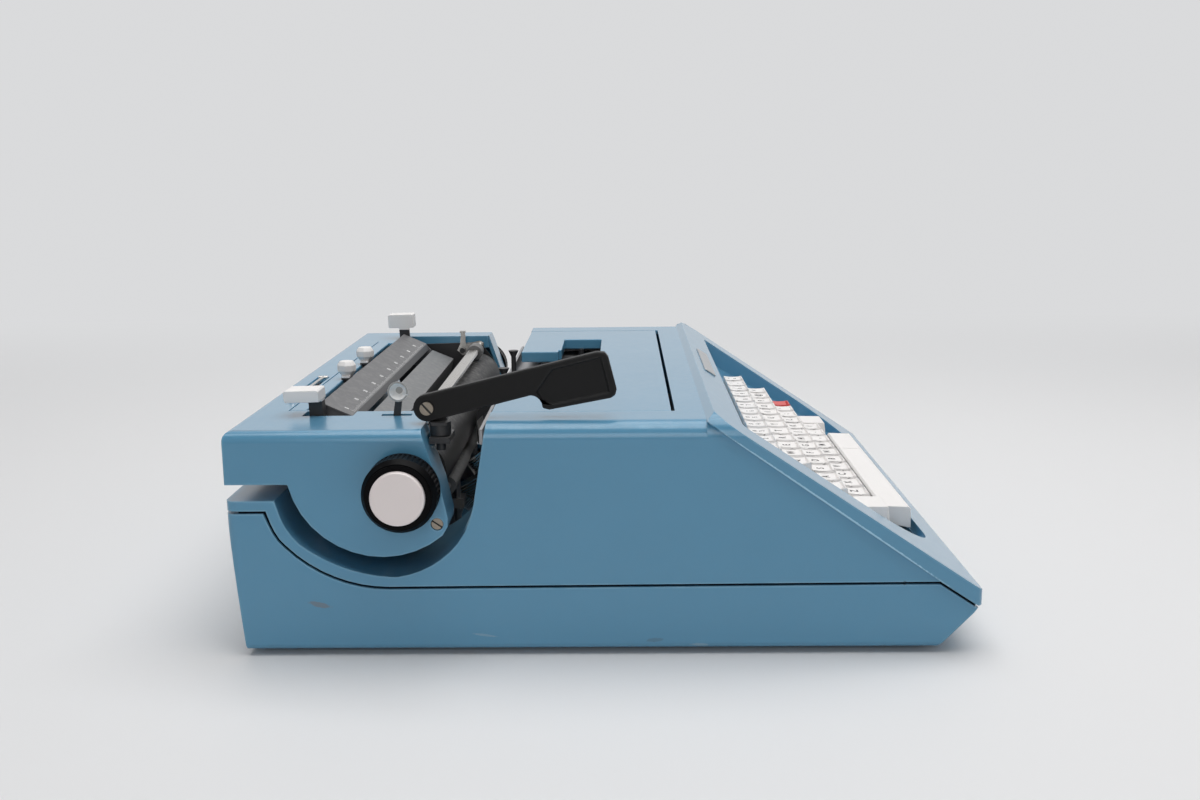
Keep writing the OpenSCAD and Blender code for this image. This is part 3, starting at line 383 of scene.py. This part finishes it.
def softCopy(name, width, segments):
    ob = nodes[name].copy()
    ob.data = nodes[name].data.copy()
    ob.name = name + "Shown"
    ob.data.name = ob.name
    ob.parent = None
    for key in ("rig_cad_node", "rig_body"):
        if key in ob:
            del ob[key]
    bpy.context.scene.collection.objects.link(ob)
    onlySelect([ob])
    bpy.ops.object.mode_set(mode="EDIT")
    bpy.ops.mesh.select_all(action="SELECT")
    bpy.ops.mesh.remove_doubles(threshold=merge["reach"])
    bpy.ops.mesh.dissolve_limited(angle_limit=math.radians(merge["flatAngle"]), use_dissolve_boundaries=False)
    bpy.ops.mesh.normals_make_consistent(inside=False)
    if name in cutHeight:
        bpy.ops.mesh.select_all(action="SELECT")
        bpy.ops.mesh.bisect(plane_co=(0, 0, cutHeight[name] * mm), plane_no=(0, 0, 1))
    bpy.ops.object.mode_set(mode="OBJECT")
    if name in capNodes:
        roundTops(ob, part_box(name)[1][2])
    bevel = ob.modifiers.new("edges", "BEVEL")
    bevel.width = width * mm
    bevel.segments = segments
    bevel.limit_method = "ANGLE"
    bevel.angle_limit = math.radians(merge["edgeAngle"])
    bevel.use_clamp_overlap = True
    bpy.ops.object.modifier_apply(modifier="edges")
    bpy.ops.object.shade_smooth_by_angle(angle=math.radians(merge["smoothAngle"]))
    even = ob.modifiers.new("even", "WEIGHTED_NORMAL")
    even.keep_sharp = True
    bpy.ops.object.modifier_apply(modifier="even")
    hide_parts(name)
    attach(ob, bodyOf[name])
    return ob


shown = {name: softCopy(name, *edges) for name, edges in softEdges.items()}
print("stage 3: softened pieces")

# Pieces of two finishes, told apart by the centre of each face in mm

hubFace = {"x": -167.2, "z": 122}
selectorKnob = {"y": 108.4, "z": 131, "recess": 1.9, "back": -138.9}
scaleRear = 133.2
lap = {"from": 179.2, "to": 179.6, "top": 84, "end": 184}

# Bottom of the slot in each screw and its centre
screwSlots = {"lever_hub": (-168.7, 89.7, 126.8), "cover_screws": (-180.3, 84.6, 70.0)}
slotDepth, screwRadius = 1.2, 3.0


def secondFinish(ob, mat, test):
    ob.data.materials.append(mat)
    index = len(ob.data.materials) - 1
    for face in ob.data.polygons:
        if test(face.center / mm):
            face.material_index = index


def inRecess(c):
    return (math.hypot(c.y - selectorKnob["y"], c.z - selectorKnob["z"]) < selectorKnob["recess"]
            and c.x < selectorKnob["back"])


def onLap(c):
    return lap["from"] < abs(c.x) < lap["to"] and c.z < lap["top"] and abs(c.y) < lap["end"]


for name, height in cutHeight.items():
    secondFinish(shown[name], finish["dark_metal"], lambda c, h=height: c.z < h)
secondFinish(shown["lever_hub"], finish["screw_metal"], lambda c: c.x < hubFace["x"] and c.z > hubFace["z"])
# Selector knob: paler plastic as painted light on its face, grey plastic as painted shade in its recess
secondFinish(shown["line_space_lever"], paintedLightPlastic, lambda c: c.z > cutHeight["line_space_lever"])
secondFinish(shown["line_space_lever"], recessShadePlastic, inRecess)
secondFinish(shown["paper_table"], plateGrey, lambda c: c.y < scaleRear)
# Painted shade: the inner lip of the parting line is made near black, as the gap's depth would shade it
secondFinish(shown["upper_shell"], lapPaintedShade, onLap)

# Painted shade: the faces inside each screw slot take the black legend ink
for name, (head, y, z) in screwSlots.items():
    secondFinish(shown[name], legendInkAndSlotShade, lambda c, h=head, y=y, z=z: h < -abs(c.x) < h + slotDepth
                 and math.hypot(c.y - y, c.z - z) < screwRadius)

# Legends on the keys and figures on the paper scale

keyLegend = {
    "row_1_keys": "1234567890-=",
    "row_2_keys": "QWERTYUIOP@*",
    "row_3_keys": "ASDFHJKL;'",
    "centre_key": "G",
    "row_4_keys": "ZXCVBNM,./",
}
upperLegend = {"row_1_keys": "!\"#$%_&'()?+"}

# Size in mm and rise above the middle of the cap
legendPlace = {"one": (6.0, 0.0), "lower": (4.2, -1.9), "upper": (3.4, 2.4)}
capMiddle = 8
lift = 0.02
strokeWidening = 0.00014
scaleBand = {"foot": Vector((0, 136.2, 115.2)) * mm, "head": Vector((0, 152.8, 122.6)) * mm, "left": -118,
             "count": 97, "step": 2.54, "start": 0.8, "halfWidth": 0.2, "tall": {10: 2.6, 5: 1.9, 1: 1.3},
             "figure": 3.4, "figureRise": 5.4}


def textPiece(body, size):
    bpy.ops.object.select_all(action="DESELECT")
    bpy.ops.object.text_add()
    ob = bpy.context.object
    ob.data.body = body
    ob.data.size = size * mm
    ob.data.resolution_u = 3
    ob.data.align_x = "CENTER"
    ob.data.align_y = "CENTER"
    ob.data.offset = strokeWidening
    bpy.ops.object.convert(target="MESH")
    return bpy.context.object


# Boxes of the separate solids in a piece, from left to right
def solidsOf(ob):
    bm = bmesh.new()
    bm.from_mesh(ob.data)
    left = set(bm.verts)
    found = []
    while left:
        todo = [left.pop()]
        seen = list(todo)
        while todo:
            for edge in todo.pop().link_edges:
                for v in edge.verts:
                    if v in left:
                        left.remove(v)
                        seen.append(v)
                        todo.append(v)
        low = Vector([min(v.co[i] for v in seen) for i in range(3)])
        high = Vector([max(v.co[i] for v in seen) for i in range(3)])
        found.append((low, high))
    bm.free()
    return sorted(found, key=lambda box: box[0].x)


def layOn(ob, target):
    for v in ob.data.vertices:
        hit, place, normal, face = target.ray_cast(Vector((v.co.x, v.co.y, 1.0)), Vector((0, 0, -1)))
        v.co.z = (place.z if hit else 0.0) + lift * mm


def joinInto(target, others):
    onlySelect([*others, target])
    bpy.ops.object.join()


def buildLegends(name, letters):
    pieces = []
    for k, (low, high) in enumerate(solidsOf(shown[name])[:len(letters)]):
        centre = Vector(((low.x + high.x) / 2, low.y + capMiddle * mm, 0))
        marks = [(letters[k], *legendPlace["one"])]
        if name in upperLegend:
            marks = [(letters[k], *legendPlace["lower"]), (upperLegend[name][k], *legendPlace["upper"])]
        for body, size, rise in marks:
            ob = textPiece(body, size)
            for v in ob.data.vertices:
                v.co += Vector((centre.x, centre.y + rise * mm, 0))
            layOn(ob, shown[name])
            ob.data.materials.append(legendInkAndSlotShade)
            pieces.append(ob)
    joinInto(shown[name], pieces)


def buildScaleMarks():
    along = (scaleBand["head"] - scaleBand["foot"]).normalized()
    above = Vector((1, 0, 0)).cross(along) * lift * mm
    start, half = scaleBand["start"] * mm, scaleBand["halfWidth"] * mm
    pieces = []
    bm = bmesh.new()
    for k in range(scaleBand["count"]):
        x = (scaleBand["left"] + k * scaleBand["step"]) * mm
        tall = scaleBand["tall"][10 if k % 10 == 0 else 5 if k % 5 == 0 else 1] * mm
        corners = [(x - half, start), (x + half, start), (x + half, start + tall), (x - half, start + tall)]
        bm.faces.new([bm.verts.new(Vector((a, 0, 0)) + scaleBand["foot"] + along * b + above)
                      for a, b in corners])
    data = bpy.data.meshes.new("scaleTicks")
    bm.to_mesh(data)
    bm.free()
    ticks = bpy.data.objects.new("scaleTicks", data)
    bpy.context.scene.collection.objects.link(ticks)
    ticks.data.materials.append(scaleInk)
    pieces.append(ticks)
    for k in range(0, scaleBand["count"], 10):
        ob = textPiece(str(k), scaleBand["figure"])
        x = (scaleBand["left"] + k * scaleBand["step"]) * mm
        for v in ob.data.vertices:
            v.co = (Vector((x + v.co.x, 0, 0)) + scaleBand["foot"]
                    + along * (scaleBand["figureRise"] * mm + v.co.y) + above)
        ob.data.materials.append(scaleInk)
        pieces.append(ob)
    joinInto(shown["paper_table"], pieces)


for name, letters in keyLegend.items():
    buildLegends(name, letters)
buildScaleMarks()
print("stage 4: legends and scale")

# Studio: a pale sweep, a dim room, a wide soft lamp overhead, a fill from the side that the camera is on
# and a lamp for the backdrop

studio = {
    "sweep": (0.78, 0.78, 0.785),
    "sweepRoughness": 0.6,
    "backdrop": (0.70, 0.705, 0.715),
    "fade": (0.25, 1.2),
    "front": -2.6,
    "bend": 1.5,
    "bendRadius": 1.3,
    "bendSteps": 24,
    "top": 4.5,
    "halfWidth": 5,
    "room": (0.82, 0.825, 0.83),
    "roomStrength": 0.26,
    "lamps": [("topLamp", (-0.08, -0.2, 1.7), (0, 0, 0), 1.7, 27.0),
              ("fillLamp", (-2.2, 0.1, 0.9), (-0.18, 0.1, 0.06), 1.0, 7.5),
              ("backLamp", (0.9, 0.7, 1.9), (2.6, 0.2, 0.6), 1.0, 9.0)],
}


# Paper floor that fades into an even pale backdrop where the camera or a reflection sees it
def sweepPaper():
    mat = bpy.data.materials.new("sweepPaper")
    mat.use_nodes = True
    tree = mat.node_tree
    shader = tree.nodes["Principled BSDF"]
    shader.inputs["Base Color"].default_value = (*studio["sweep"], 1)
    shader.inputs["Roughness"].default_value = studio["sweepRoughness"]
    glow = addNode(tree, "ShaderNodeEmission", {"Color": (*studio["backdrop"], 1)})
    away = addNode(tree, "ShaderNodeSeparateXYZ", {0: objectPlace(tree)}).outputs["X"]
    far = mapRange(tree, away, *studio["fade"], interpolation_type="SMOOTHSTEP")
    ray = addNode(tree, "ShaderNodeLightPath").outputs
    seen = calculate(tree, "MAXIMUM", ray["Is Camera Ray"], ray["Is Glossy Ray"])
    seen = calculate(tree, "MAXIMUM", seen, ray["Is Transmission Ray"])
    mix = addNode(tree, "ShaderNodeMixShader", {"Fac": calculate(tree, "MULTIPLY", far, seen)})
    tree.links.new(shader.outputs[0], mix.inputs[1])
    tree.links.new(glow.outputs[0], mix.inputs[2])
    tree.links.new(mix.outputs[0], tree.nodes["Material Output"].inputs["Surface"])
    return mat


def buildSweep():
    bend, radius, steps, half = (studio[k] for k in ("bend", "bendRadius", "bendSteps", "halfWidth"))
    profile = [(studio["front"], 0.0), (bend, 0.0)]
    for k in range(1, steps + 1):
        angle = k * math.pi / (2 * steps)
        profile.append((bend + radius * math.sin(angle), radius - radius * math.cos(angle)))
    profile.append((bend + radius, studio["top"]))
    bm = bmesh.new()
    rows = [[bm.verts.new((x, y, z)) for y in (-half, half)] for x, z in profile]
    for a, b in zip(rows, rows[1:]):
        bm.faces.new((a[0], b[0], b[1], a[1]))
    data = bpy.data.meshes.new("floor")
    bm.to_mesh(data)
    bm.free()
    floor = bpy.data.objects.new("floor", data)
    bpy.context.scene.collection.objects.link(floor)
    for face in floor.data.polygons:
        face.use_smooth = True
    floor.data.materials.append(sweepPaper())


def buildLights():
    world = bpy.data.worlds.new("room")
    bpy.context.scene.world = world
    world.use_nodes = True
    back = world.node_tree.nodes["Background"]
    back.inputs["Color"].default_value = (*studio["room"], 1)
    back.inputs["Strength"].default_value = studio["roomStrength"]
    for name, place, aim, size, power in studio["lamps"]:
        data = bpy.data.lights.new(name, "AREA")
        data.size = size
        data.energy = power
        ob = bpy.data.objects.new(name, data)
        bpy.context.scene.collection.objects.link(ob)
        ob.location = place
        ob.rotation_euler = (Vector(aim) - Vector(place)).to_track_quat("-Z", "Y").to_euler()


buildSweep()
buildLights()
print("stage 5: studio")
